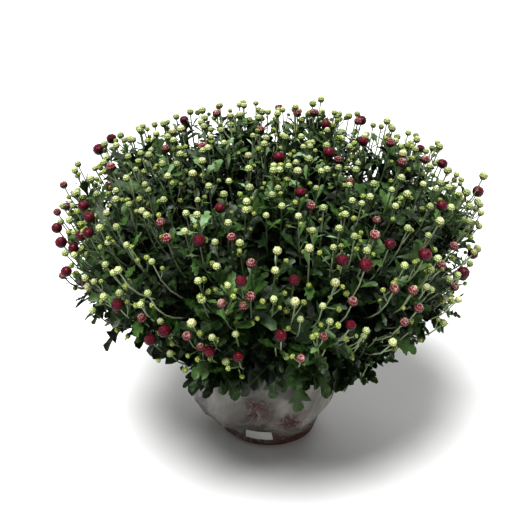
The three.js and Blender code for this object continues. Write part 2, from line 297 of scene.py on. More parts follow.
def deselect():
    bpy.ops.object.select_all(action="DESELECT")


def make_active(thing):
    deselect()
    thing.select_set(True)
    bpy.context.view_layer.objects.active = thing


def begin(thing):
    """Edit mode with nothing selected."""
    make_active(thing)
    bpy.ops.object.mode_set(mode="EDIT")
    bpy.ops.mesh.select_all(action="DESELECT")


def end():
    bpy.ops.object.mode_set(mode="OBJECT")


def choose(thing, kind, wanted):
    """Selects the vertices or faces of a mesh in edit mode that a test picks by their place."""
    bpy.ops.mesh.select_mode(type="VERT" if kind == "verts" else "FACE")
    bpy.ops.mesh.select_all(action="DESELECT")
    mesh = bmesh.from_edit_mesh(thing.data)
    for element in getattr(mesh, kind):
        element.select_set(bool(wanted(element)))
    mesh.select_flush_mode()
    bmesh.update_edit_mesh(thing.data)


def shift(value):
    bpy.ops.transform.translate(value=value)


def scale(wider):
    """Draws what is selected out from the piece's own axis, or in towards it."""
    bpy.ops.transform.resize(value=(wider, wider, 1), center_override=(0, 0, 0))


def finish_modifier(thing, kind, **settings):
    """Adds a modifier and applies it."""
    make_active(thing)
    modifier = thing.modifiers.new(kind.title(), kind)
    for name, value in settings.items():
        setattr(modifier, name, value)
    bpy.ops.object.modifier_apply(modifier=modifier.name)


def smooth(thing, angle):
    make_active(thing)
    bpy.ops.object.shade_smooth_by_angle(angle=math.radians(angle))


def weld(thing, distance):
    begin(thing)
    bpy.ops.mesh.select_all(action="SELECT")
    bpy.ops.mesh.remove_doubles(threshold=distance)
    end()


def face_outwards(thing):
    begin(thing)
    bpy.ops.mesh.select_all(action="SELECT")
    bpy.ops.mesh.normals_make_consistent(inside=False)
    end()


def link(thing):
    bpy.context.collection.objects.link(thing)


def settle():
    """Moves the active object's place into its mesh."""
    bpy.ops.object.transform_apply(location=True, rotation=True, scale=True)


def new_piece(name):
    """The primitive that was just added, under its name."""
    thing = bpy.context.active_object
    thing.name = name
    thing.data.name = name
    return thing


def set_tone(thing, tone):
    """Gives every point of a piece one tone, which its material reads."""
    shade = thing.data.attributes.new("tone", "FLOAT", "POINT")
    shade.data.foreach_set("value", [tone] * len(thing.data.vertices))


def copy_of(model, place, tone):
    """One more of a shape that is modelled once, with its own mesh and its own tone."""
    copy = model.copy()
    copy.data = model.data.copy()
    copy.matrix_world = place
    set_tone(copy, tone)
    link(copy)
    return copy


def joined(name, copies):
    """Joins copies into one piece, with its place in its mesh."""
    deselect()
    for copy in copies:
        copy.select_set(True)
    bpy.context.view_layer.objects.active = copies[0]
    bpy.ops.object.join()
    settle()
    return new_piece(name)


def frame_at(root, way, face, size, width=1.0):
    """Puts a shape that grows along its own Y, with its upper side to its own Z, at a root."""
    face = (face - way * face.dot(way)).normalized()
    across = way.cross(face)
    turned = Matrix((across, way, face)).transposed().to_4x4()
    return Matrix.Translation(root) @ turned @ Matrix.Diagonal((size * width, size, size, 1))


def bud_frame(root, way, size, turn):
    """Puts a shape that grows along its own Z at a root."""
    turned = way.to_track_quat("Z", "Y").to_matrix().to_4x4() @ Matrix.Rotation(turn, 4, "Z")
    return Matrix.Translation(root) @ turned @ Matrix.Diagonal((size, size, size, 1))


# ---------- materials


def colour(red, green, blue):
    """A colour of 0 to 255 as seen on a screen, in the linear values that shaders take."""
    def linear(value):
        share = value / 255
        return share / 12.92 if share <= 0.04045 else ((share + 0.055) / 1.055) ** 2.4

    return (linear(red), linear(green), linear(blue), 1.0)


class Finish:
    """A material and short ways to add and link its nodes. Its colours are given from 0 to 255."""

    def __init__(self, name, base, roughness, **sockets):
        self.material = bpy.data.materials.new(name)
        self.material.use_nodes = True
        self.tree = self.material.node_tree
        self.shader = self.tree.nodes["Principled BSDF"]
        self.shader.inputs["Base Color"].default_value = colour(*base)
        self.shader.inputs["Roughness"].default_value = roughness
        for socket, value in sockets.items():
            self.shader.inputs[socket.replace("_", " ")].default_value = value

    def node(self, kind, inputs=None, **settings):
        node = self.tree.nodes.new("ShaderNode" + kind)
        for name, value in settings.items():
            setattr(node, name, value)
        for socket, value in (inputs or {}).items():
            if isinstance(value, bpy.types.NodeSocket):
                self.tree.links.new(value, node.inputs[socket])
            else:
                node.inputs[socket].default_value = value
        return node

    def object_place(self, scale=(1, 1, 1)):
        place = self.node("TexCoord").outputs["Object"]
        return self.node("Mapping", {"Vector": place, "Scale": scale}).outputs["Vector"]

    def uv_place(self, scale=(1, 1, 1)):
        place = self.node("UVMap", uv_map="UVMap").outputs["UV"]
        return self.node("Mapping", {"Vector": place, "Scale": scale}).outputs["Vector"]

    def axes(self, place):
        """The three coordinates of a place."""
        return self.node("SeparateXYZ", {"Vector": place}).outputs

    def noise(self, scale, detail, distortion=0.0, stretch=(1, 1, 1)):
        """Noise in the piece's own space."""
        place = self.object_place(stretch)
        inputs = {"Vector": place, "Scale": scale, "Detail": detail, "Distortion": distortion}
        return self.node("TexNoise", inputs).outputs["Fac"]

    def attribute(self, name):
        return self.node("Attribute", attribute_name=name).outputs["Fac"]

    def ramp(self, factor, *stops):
        """Shades along a factor, each stop with its position and colour."""
        node = self.node("ValToRGB", {"Fac": factor})
        elements = node.color_ramp.elements
        while len(elements) < len(stops):
            elements.new(1.0)
        for element, (position, *shade) in zip(elements, stops):
            element.position = position
            element.color = colour(*shade)
        return node.outputs["Color"]

    def range(self, value, low, high, to_low=0.0, to_high=1.0):
        inputs = {"Value": value, "From Min": low, "From Max": high, "To Min": to_low, "To Max": to_high}
        return self.node("MapRange", inputs).outputs["Result"]

    def math(self, operation, *values):
        return self.node("Math", dict(enumerate(values)), operation=operation).outputs["Value"]

    def plus(self, first, second):
        return self.math("ADD", first, second)

    def minus(self, first, second):
        return self.math("SUBTRACT", first, second)

    def times(self, first, second):
        return self.math("MULTIPLY", first, second)

    def off_middle(self, value):
        """How far a value is from one half."""
        return self.math("ABSOLUTE", self.minus(value, 0.5))

    def mix(self, factor, shade, other):
        """Blends a shade into a plain colour."""
        node = self.node("Mix", data_type="RGBA")
        share, first, second = [socket for socket in node.inputs if socket.enabled]
        self.tree.links.new(factor, share)
        self.tree.links.new(shade, first)
        second.default_value = colour(*other)
        return next(socket for socket in node.outputs if socket.enabled)

    def paint(self, shade):
        self.tree.links.new(shade, self.shader.inputs["Base Color"])

    def rough(self, *span):
        self.tree.links.new(self.range(*span), self.shader.inputs["Roughness"])

    def bump(self, height, distance, strength):
        inputs = {"Height": height, "Distance": distance, "Strength": strength}
        bumped = self.node("Bump", inputs).outputs["Normal"]
        self.tree.links.new(bumped, self.shader.inputs["Normal"])


def leaf_finish(name, dark, middle, light, bloom_and_sheen, vein, roughness):
    """A leaf's side: a tone for each leaf, which carries painted shade, blotches, a midrib with side veins
    that run to the lobes, and a pale bloom at the top of the tones that is partly a painted sheen.
    """
    finish = Finish(name, middle, roughness, Specular_IOR_Level=0.3)
    sideways = finish.axes(finish.uv_place())["X"]
    midrib = finish.range(finish.off_middle(sideways), 0.05, 0.0)
    bands = finish.node(
        "TexWave", {"Vector": finish.uv_place((0, 1, 0)), "Scale": 1.15, "Phase Offset": 2.2},
        wave_type="BANDS", bands_direction="Y", wave_profile="SIN",
    )
    side_veins = finish.range(bands.outputs["Fac"], 0.93, 1.0)
    veins = finish.math("MAXIMUM", midrib, finish.times(side_veins, 0.45))
    blotches = finish.times(finish.noise(90.0, 4.0), 0.5)
    mixed = finish.plus(finish.attribute("tone"), finish.minus(blotches, 0.25))
    # The palest stop is the leaf's bloom and partly a painted sheen
    shade = finish.ramp(mixed, (0.0, *dark), (0.48, *middle), (0.8, *light), (1.0, *bloom_and_sheen))
    finish.paint(finish.mix(finish.times(veins, 0.3), shade, vein))
    grain = finish.noise(700.0, 2.0)
    finish.rough(grain, 0.0, 1.0, roughness - 0.1, roughness + 0.12)
    finish.bump(finish.plus(finish.times(veins, -0.7), finish.times(grain, 0.5)), 0.0006, 0.6)
    return finish.material


def stalk_finish():
    """Grey-green stem skin with fine ridges and a trace of purple."""
    finish = Finish("stalk_skin", (92, 110, 72), 0.5, Specular_IOR_Level=0.35)
    skin = finish.noise(60.0, 4.0, stretch=(1, 1, 0.25))
    mixed = finish.plus(finish.times(finish.attribute("tone"), 0.6), finish.times(skin, 0.5))
    shade = finish.ramp(mixed, (0.15, 42, 56, 30), (0.5, 88, 104, 70), (0.9, 142, 154, 122))
    purple = finish.range(finish.noise(24.0, 2.0), 0.58, 0.75)
    finish.paint(finish.mix(finish.times(purple, 0.3), shade, (66, 44, 38)))
    finish.rough(skin, 0.0, 1.0, 0.4, 0.65)
    ridges = finish.node("TexWave", {"Vector": finish.uv_place((0, 1, 0)), "Scale": 2.5}, bands_direction="Y")
    finish.bump(ridges.outputs["Fac"], 0.0003, 0.6)
    return finish.material


def petal_finish(name, counts, stops, tip, gap_shade, roughness=0.5, row_shade_depth=0.5, patchy=0.15):
    """A bud's skin in rows of petals: shades from its foot to its top, darker at the foot partly as painted
    shade, paler tips, streaks, and painted shade in the gaps between petals and at the foot of each row.
    """
    around, rows = counts
    finish = Finish(name, stops[1][1:], roughness, Specular_IOR_Level=0.25)
    place = finish.axes(finish.uv_place())
    sideways, up = place["X"], place["Y"]
    # The bud's colour from foot to top; the darker foot is partly painted shade on its lower side
    shade = finish.ramp(up, *stops)
    row = finish.times(up, rows)
    up_petal = finish.math("FRACT", row)
    stagger = finish.times(finish.math("FLOOR", row), 0.5)
    petal = finish.plus(finish.times(sideways, around), stagger)
    off_edge = finish.minus(0.5, finish.off_middle(finish.math("FRACT", petal)))
    tips = finish.range(finish.plus(up_petal, off_edge), 0.8, 1.4, 0.0, 0.85)
    shade = finish.mix(finish.times(tips, finish.range(up, 0.25, 0.8, 0.25, 1.0)), shade, tip)
    patches = finish.range(finish.noise(230.0, 2.0), 0.52, 0.64, 0.0, patchy)
    shade = finish.mix(finish.times(patches, finish.range(up, 0.4, 0.7)), shade, tip)
    along_petals = finish.uv_place((around * 1.6, 2.5, 1))
    streaks = finish.node("TexNoise", {"Vector": along_petals, "Scale": 1.0, "Detail": 3.0}).outputs["Fac"]
    # Some buds and streaks darker at random, in the colour of the painted gap shade
    bright = finish.plus(finish.times(finish.attribute("tone"), 0.6), finish.times(streaks, 0.4))
    shade = finish.mix(finish.range(bright, 0.2, 0.8, 0.42, 0.0), shade, gap_shade)
    # Painted shade in the creases: at the foot of each row of petals and along the edges between petals
    row_shade = finish.range(up_petal, 0.3, 0.02, 0.0, row_shade_depth)
    folds = finish.math("MAXIMUM", row_shade, finish.range(off_edge, 0.17, 0.03))
    finish.paint(finish.mix(finish.times(folds, 0.85), shade, gap_shade))
    finish.rough(streaks, 0.0, 1.0, roughness - 0.1, roughness + 0.15)
    finish.bump(finish.minus(finish.times(streaks, 0.4), folds), 0.0007, 0.8)
    return finish.material


# Petals round a bud and rows of them from its foot to its top
PETAL_COUNTS = {"small": (7, 3), "green": (9, 4), "cream": (11, 4), "pink": (13, 4), "crimson": (13, 5)}
# From the small green bud to the half-open crimson one: shades from foot to top, darker at the foot partly as
# painted shade, the petals' tips, the colour of the painted shade in the gaps between them, the roughness,
# how dark the painted shade at the foot of each row is, and how patchy the petals are
PETAL_SHADES = {
    "small": (
        [(0.0, 26, 44, 8), (0.38, 76, 96, 26), (0.7, 138, 154, 64), (1.0, 186, 198, 112)],
        (210, 218, 144), (24, 40, 8), 0.55,
    ),
    "green": (
        [(0.0, 26, 44, 8), (0.34, 82, 100, 32), (0.62, 160, 176, 76), (1.0, 230, 238, 184)],
        (246, 250, 222), (34, 48, 10), 0.55,
    ),
    "cream": (
        [
            (0.0, 34, 44, 10), (0.34, 96, 100, 40), (0.58, 184, 192, 108), (0.86, 236, 243, 196),
            (0.93, 92, 44, 24),
        ],
        (247, 252, 230), (64, 52, 20), 0.55, 0.5, 0.4,
    ),
    "pink": (
        [(0.0, 38, 34, 10), (0.28, 64, 20, 18), (0.48, 98, 4, 31), (0.82, 132, 22, 48), (0.88, 44, 2, 12)],
        (246, 216, 196), (34, 3, 10), 0.45, 0.6, 0.55,
    ),
    "crimson": (
        [(0.0, 22, 7, 4), (0.34, 36, 0, 8), (0.64, 64, 0, 18), (0.9, 58, 0, 16), (0.97, 26, 0, 6)],
        (154, 18, 54), (17, 0, 5), 0.34, 0.7, 0.3,
    ),
}
# The calyx: shades from its foot up, darker at the foot partly as painted shade, its tips, and its painted
# gap shade
CALYX_SHADES = ([(0.0, 22, 38, 8), (0.2, 50, 66, 18), (0.4, 98, 104, 44)], (160, 152, 92), (12, 20, 5))


def bud_finishes(stage):
    """A stage's petals and its calyx."""
    petals = petal_finish(stage + "_petals", PETAL_COUNTS[stage], *PETAL_SHADES[stage])
    calyx = petal_finish(stage + "_calyx", PETAL_COUNTS[stage], *CALYX_SHADES)
    return petals, calyx


def pot_finish():
    """Satin brown-red pot plastic with faint flow marks, scuffs and dust on the foot."""
    finish = Finish("pot_plastic", (74, 38, 34), 0.42)
    flow = finish.noise(14.0, 3.0, stretch=(1, 1, 6))
    scuffs = finish.noise(220.0, 5.0, 1.5, (1, 1, 0.3))
    shade = finish.ramp(flow, (0.25, 56, 26, 24), (0.6, 76, 38, 34), (0.9, 92, 50, 42))
    height = finish.axes(finish.object_place())["Z"]
    dusty = finish.times(finish.range(height, 0.02, 0.0), finish.range(scuffs, 0.4, 0.7))
    finish.paint(finish.mix(finish.times(dusty, 0.4), shade, (112, 92, 80)))
    finish.rough(scuffs, 0.3, 0.7, 0.34, 0.58)
    finish.bump(finish.plus(scuffs, flow), 0.0002, 0.35)
    return finish.material


def soil_finish():
    """Damp peat with lighter fibres."""
    finish = Finish("damp_peat", (46, 34, 26), 0.9)
    lumps = finish.noise(160.0, 6.0, 0.6)
    fibres = finish.noise(180.0, 4.0, 2.0, (1, 6, 1))
    shade = finish.ramp(lumps, (0.3, 24, 17, 13), (0.55, 52, 38, 28), (0.8, 88, 66, 46))
    finish.paint(finish.mix(finish.range(fibres, 0.66, 0.74, 0.0, 0.6), shade, (128, 104, 74)))
    finish.bump(lumps, 0.002, 0.9)
    return finish.material


def perlite_finish():
    """Chalky white grains."""
    finish = Finish("perlite", (206, 202, 192), 0.85)
    grain = finish.noise(900.0, 3.0)
    finish.paint(finish.ramp(grain, (0.3, 160, 152, 138), (0.7, 222, 220, 212)))
    finish.bump(grain, 0.0004, 0.8)
    return finish.material


def film_finish():
    """Frosted film: cloudy grey with pale and dark swaths that are partly painted highlight and shade,
    browner where it clings to the pot, with lighter crease lines that are partly a painted highlight, and
    fine crinkles.
    """
    finish = Finish("frosted_film", (96, 92, 86), 0.22, Alpha=0.86, IOR=1.5)
    cloud_and_painted_light = finish.noise(20.0, 2.0, 0.4, (1, 1, 0.6))
    # Cloudy swaths of the film, partly painted highlight and painted shade
    shade = finish.ramp(cloud_and_painted_light, (0.3, 56, 53, 50), (0.5, 88, 85, 80), (0.72, 156, 154, 147))
    cling = finish.attribute("cling")
    shade = finish.mix(cling, shade, (70, 28, 26))
    wrinkle = finish.noise(60.0, 2.0, 1.6)
    # Lighter crease lines round the dents, partly a painted highlight along them
    crease_and_painted_highlight = finish.range(finish.off_middle(wrinkle), 0.035, 0.0)
    crease_and_painted_highlight = finish.times(crease_and_painted_highlight, finish.range(cling, 0.05, 0.5, 0.0, 0.5))
    finish.paint(finish.mix(crease_and_painted_highlight, shade, (158, 150, 144)))
    crinkle = finish.noise(45.0, 4.0, 0.8, (1, 1, 0.7))
    finish.rough(crinkle, 0.3, 0.7, 0.16, 0.34)
    facets = finish.node(
        "TexVoronoi", {"Vector": finish.object_place((1, 1, 0.7)), "Scale": 62.0, "Detail": 1.0}, feature="F1"
    )
    height = finish.plus(facets.outputs["Distance"], finish.times(crease_and_painted_highlight, 1.2))
    finish.bump(finish.plus(height, finish.times(crinkle, 0.7)), 0.0016, 0.36)
    return finish.material


def label_finish():
    """Plain coated paper with a faint tooth and soft grey smudges."""
    finish = Finish("label_paper", (184, 184, 183), 0.5)
    tooth = finish.noise(1500.0, 4.0)
    smudge = finish.noise(60.0, 2.0)
    finish.paint(finish.ramp(smudge, (0.3, 168, 168, 168), (0.7, 190, 190, 189)))
    finish.rough(tooth, 0.3, 0.7, 0.42, 0.58)
    finish.bump(tooth, 0.0001, 0.4)
    return finish.material


# ---------- leaves, modelled once

# Rows of a blade one unit long: half its width, and how far up the blade its edge and its midrib are
LOBED_ROWS = [
    (0.02, 0, 0), (0.024, 0.14, 0.13), (0.15, 0.22, 0.17), (0.29, 0.33, 0.22), (0.32, 0.42, 0.28),
    (0.22, 0.45, 0.34), (0.14, 0.5, 0.4), (0.25, 0.58, 0.46), (0.31, 0.68, 0.53), (0.27, 0.76, 0.6),
    (0.14, 0.77, 0.68), (0.185, 0.87, 0.77), (0.14, 0.97, 0.89), (0.000, 1, 1),
]
DEEP_ROWS = [
    (0.018, 0, 0), (0.024, 0.17, 0.16), (0.17, 0.3, 0.21), (0.26, 0.43, 0.27), (0.2, 0.48, 0.34),
    (0.09, 0.46, 0.41), (0.24, 0.64, 0.48), (0.3, 0.76, 0.56), (0.2, 0.77, 0.65), (0.1, 0.76, 0.73),
    (0.15, 0.9, 0.83), (0.09, 0.98, 0.93), (0.000, 1, 1),
]
YOUNG_ROWS = [
    (0.022, 0, 0), (0.05, 0.2, 0.19), (0.085, 0.38, 0.33), (0.195, 0.55, 0.44), (0.125, 0.6, 0.54),
    (0.2, 0.78, 0.66), (0.105, 0.82, 0.78), (0.11, 0.95, 0.9), (0.000, 1, 1),
]
SPOON_ROWS = [
    (0.02, 0, 0), (0.055, 0.26, 0.25), (0.13, 0.48, 0.44), (0.205, 0.68, 0.58), (0.15, 0.78, 0.72),
    (0.135, 0.92, 0.86), (0.000, 1, 1),
]
BRACT_ROWS = [(0.04, 0, 0), (0.095, 0.36, 0.32), (0.1, 0.64, 0.6), (0.000, 1, 1)]
# The thickness at the midrib. A blade thins to nothing at its edge, where its two sides are welded
BLADE_THICKNESS = 0.014
BLADE_WELD = 0.0005


def blade(materials, name, rows, fold, droop, twist, ripple):
    """A closed leaf blade: a grid of two columns, widened row by row, folded along its midrib, bent down."""
    bpy.ops.mesh.primitive_grid_add(x_subdivisions=2, y_subdivisions=len(rows) - 1, size=1, calc_uvs=True)
    leaf = new_piece(name)
    for material in materials:
        leaf.data.materials.append(material)
    starts = [vertex.co.copy() for vertex in leaf.data.vertices]
    begin(leaf)
    for row, (half, edge, rib) in enumerate(rows):
        for side in (-1, 0, 1):
            number = row * 3 + side + 1
            along = edge if side else rib
            turn = twist * along
            wave = ripple * math.sin(row * 2.1 + side * 1.3) * half
            lift = (fold * half + wave if side else 0.0) - droop * along * along
            wide = side * half * math.cos(turn)
            place = Vector((wide, along, lift + side * half * math.sin(turn)))
            choose(leaf, "verts", lambda vertex: vertex.index == number)
            shift(place - starts[number])
    end()
    middle = leaf.vertex_groups.new(name="middle")
    middle.add([row * 3 + 1 for row in range(1, len(rows) - 1)], 1.0, "REPLACE")
    finish_modifier(
        leaf, "SOLIDIFY", thickness=BLADE_THICKNESS, offset=-1.0, vertex_group="middle", material_offset=1
    )
    leaf.vertex_groups.clear()
    weld(leaf, BLADE_WELD)
    smooth(leaf, 85)
    return leaf


# Each model's name and rows, and how far it folds up, droops, twists and ripples
LEAF_MODELS = {
    "large": [
        ("lobed_leaf", LOBED_ROWS, 0.25, 0.28, 0.0, 0.25),
        ("lobed_leaf_turned", LOBED_ROWS, 0.4, 0.18, 0.5, 0.35),
        ("deep_leaf", DEEP_ROWS, 0.15, 0.42, -0.35, 0.3),
        ("deep_leaf_cupped", DEEP_ROWS, 0.55, 0.1, 0.2, 0.2),
    ],
    "young": [
        ("young_leaf", YOUNG_ROWS, 0.3, 0.15, 0.3, 0.2),
        ("young_leaf_bent", YOUNG_ROWS, 0.2, 0.35, -0.3, 0.3),
        ("spoon_leaf", SPOON_ROWS, 0.45, 0.1, 0.2, 0.2),
        ("spoon_leaf_bent", SPOON_ROWS, 0.25, 0.3, -0.4, 0.3),
    ],
    "bract": [("bract_leaf", BRACT_ROWS, 0.3, 0.25, 0.2, 0.0)],
}


def leaf_models():
    # Each side's dark, middle, light and bloom shades and its vein colour; the bloom is partly a painted
    # sheen
    upper = (3, 12, 1), (25, 48, 12), (76, 106, 52), (132, 154, 124), (96, 126, 66)
    under = (8, 20, 5), (38, 56, 28), (98, 120, 80), (146, 162, 136), (112, 132, 94)
    sides = leaf_finish("leaf_upper_side", *upper, 0.42), leaf_finish("leaf_underside", *under, 0.52)
    return {kind: [blade(sides, *model) for model in models] for kind, models in LEAF_MODELS.items()}


# ---------- buds, modelled once

# A bud about one unit in radius, from its foot up. Each ring has its radius and height, how far the petals'
# middles stand out of it and rise above it, and which of its points are middles. Rings come in pairs: the
# tips of one row of petals, then the foot of the next row just inside them.
BUD_SIDES = {"small": 8, "green": 10, "cream": 12, "pink": 14, "crimson": 16}
BUD_RINGS = {
    "small": [
        (0.6, 0.12, 0, 0, 0), (1, 0.84, 0.06, 0.12, 0),
        (0.86, 1.24, 0.04, 0.06, 1), (0.42, 1.66, 0.05, 0.04, 0),
    ],
    "green": [
        (0.6, 0.12, 0, 0, 0), (1, 0.8, 0.06, 0.12, 0), (0.97, 0.9, 0, 0, 1),
        (0.8, 1.4, 0.06, 0.09, 1), (0.68, 1.5, 0, 0, 0), (0.34, 1.76, 0.05, 0.04, 0),
    ],
    "cream": [
        (0.62, 0.12, 0, 0, 0), (1, 0.74, 0.05, 0.14, 0), (1.02, 0.92, 0, 0, 1),
        (0.86, 1.42, 0.05, 0.08, 1), (0.52, 1.7, 0.05, 0.04, 0), (0.3, 1.58, 0, 0, 0),
    ],
    "pink": [
        (0.6, 0.12, 0, 0, 0), (0.96, 0.58, 0.05, 0.14, 0), (1.02, 0.84, 0, 0, 1),
        (0.98, 1.26, 0.05, 0.1, 1), (0.9, 1.4, 0, 0, 0), (0.62, 1.72, 0.07, 0.05, 0),
        (0.4, 1.62, 0, 0, 1), (0.2, 1.42, 0, 0, 1),
    ],
    "crimson": [
        (0.55, 0.1, 0, 0, 0), (0.92, 0.48, 0.04, 0.13, 0), (1.01, 0.72, 0, 0, 1),
        (1.03, 1.06, 0.05, 0.11, 1), (0.98, 1.2, 0, 0, 0), (0.83, 1.54, 0.06, 0.08, 0),
        (0.72, 1.6, 0, 0, 1), (0.44, 1.84, 0.06, 0.04, 1), (0.26, 1.8, 0, 0, 0),
    ],
}
BUD_TOPS = {"small": 1.76, "green": 1.84, "cream": 1.42, "pink": 1.34, "crimson": 1.72}
CALYX_LEVELS = {"small": 0, "green": 0, "cream": 1, "pink": 2, "crimson": 2}


def bud(stage):
    """A closed bud: a ball whose rings are drawn into rows of overlapping petals."""
    rings, sides = BUD_RINGS[stage], BUD_SIDES[stage]
    bpy.ops.mesh.primitive_uv_sphere_add(segments=sides, ring_count=len(rings) + 1, radius=1, calc_uvs=True)
    ball = new_piece(stage + "_bud")
    for finish in bud_finishes(stage):
        ball.data.materials.append(finish)
    levels = sorted({round(vertex.co.z, 4) for vertex in ball.data.vertices})
    level_of = {vertex.index: levels.index(round(vertex.co.z, 4)) for vertex in ball.data.vertices}
    side_of = {}
    uv = ball.data.uv_layers.active.data
    for loop in ball.data.loops:
        side_of[loop.vertex_index] = round(uv[loop.index].uv.x * sides) % sides
    for face in ball.data.polygons:
        level = min(level_of[number] for number in face.vertices)
        face.material_index = 1 if level < CALYX_LEVELS[stage] else 0
    begin(ball)
    for level, (radius, height, out, rise, start) in enumerate(rings, start=1):
        was = math.sqrt(1 - levels[level] ** 2)
        choose(ball, "verts", lambda vertex: level_of[vertex.index] == level)
        scale((radius - out) / was)
        shift((0, 0, height - rise - levels[level]))
        choose(ball, "verts", lambda v: level_of[v.index] == level and side_of[v.index] % 2 == start)
        scale((radius + out) / (radius - out))
        shift((0, 0, 2 * rise))
    choose(ball, "verts", lambda vertex: level_of[vertex.index] == 0)
    shift((0, 0, 1.0))
    choose(ball, "verts", lambda vertex: level_of[vertex.index] == len(rings) + 1)
    shift((0, 0, BUD_TOPS[stage] - 1.0))
    end()
    smooth(ball, 45)
    return ball


# ---------- leafy stems

# Up to which share of the buds each stage goes, and its radius
STAGE_SHARES = [
    (0.34, "green", 0.0042), (0.5, "cream", 0.0044), (0.74, "pink", 0.0049), (1.0, "crimson", 0.0060),
]
# Buds open first low on the crown and last on its top, a little later towards +Y
LATE_WAY = Vector((0, 0.25, 1))
LATE_FROM = 0.24
LATE_SPAN = 0.11
LATE_POWER = 4.0
STALK_RADIUS = 0.0010
BURIED_HANDLE = 0.007
PETIOLE_RADII = (0.0011, 0.0006)
OLD_PETIOLE_RADII = (0.0013, 0.0009)
# Where each leaf leaves a bud's stalk, its model and its length
BRANCH_LEAVES = [
    (0.03, "young", 0.030), (0.09, "young", 0.030), (0.15, "young", 0.029), (0.21, "young", 0.028),
    (0.27, "young", 0.027), (0.33, "young", 0.027), (0.39, "young", 0.026), (0.45, "young", 0.026),
    (0.51, "young", 0.026), (0.57, "young", 0.026), (0.63, "young", 0.025), (0.69, "young", 0.023),
    (0.75, "young", 0.021), (0.81, "young", 0.018), (0.86, "bract", 0.014), (0.91, "bract", 0.011),
]
# Low shoots drop most of the leaves next to their buds
OPEN_HEIGHT = 0.345
OPEN_SPAN = 0.07
OPEN_FROM = 0.4
OPEN_SHARE = 0.72
BRANCH_DROP = 0.030
BRANCH_SPREAD = 1.6
BRANCH_LOWEST = 0.35
SIDE_BUD_SHARES = [0.75, 0.5, 0.25]
SIDE_BUD_RADIUS = 0.0032
SIDE_BUD_STATIONS = (0.6, 0.94)
SIDE_BUD_LENGTHS = (0.008, 0.024)
SIDE_BUD_PROUD = 0.004
INNER_LEAVES = 16
INNER_STATIONS = (0.14, 0.80)
INNER_LENGTHS = (0.038, 0.054)
INNER_DROPS = (-0.3, 0.5)
LEAF_WIDTHS = (0.7, 1.0)
LEAF_COVER = 0.003
SKIRT_TOP = 0.24
SKIRT_COVER = (-0.022, 0.006)
SKIRT_BUDS = 0.24
LOBED_SHARE = 0.35
LOBED_SIZE = 1.25
BARE_BELOW = 0.185
BARE_SHOOT_CUT = 0.08
# A leaf's tone, from 0, dark, to 1, pale: a drawn part; more near the crown's surface, a painted shade that
# darkens the leaves deep inside the bush; and less low on the plant, partly for age and partly a painted
# shade there
TONE_LEAST = -0.1
TONE_DRAWN = 0.64
TONE_PAINTED_SHADE = 0.45
TONE_AGED_AND_SHADED = 0.3
SHADE_DEPTH = 0.028
FRESH_AND_LIT_HEIGHT = 0.265
FRESH_AND_LIT_SPAN = 0.11
HANGING_LEAVES = 28
HANGING_STATION = 0.2
HANGING_LENGTH = (0.034, 0.054)
HANGING_HEIGHT = (-0.004, 0.008)
HANGING_REACH = (0.3, 0.6)
HANGING_WIDTHS = (0.6, 1.0)
HANGING_TONES = (0.25, 0.62)
HANGING_GAP = 0.003
BARE_AZIMUTH = math.radians(-128)
BARE_ANGLE = math.radians(14)


def tube(curve, points, radii):
    """Adds one smooth tapering tube to a curve, through a cubic's four points."""
    spline = curve.splines.new("BEZIER")
    spline.bezier_points.add(1)
    first, last = spline.bezier_points
    first.co, first.handle_right, first.handle_left = points[0], points[1], points[0] * 2 - points[1]
    last.co, last.handle_left, last.handle_right = points[3], points[2], points[3] * 2 - points[2]
    first.radius, last.radius = radii


def leaf_size_within(root, way, size, cover):
    """The leaf's length, cut so that its tip stays this far under the crown's surface."""
    for _ in range(8):
        if crown_depth(root + way * size) > cover:
            break
        size *= 0.85
    return size


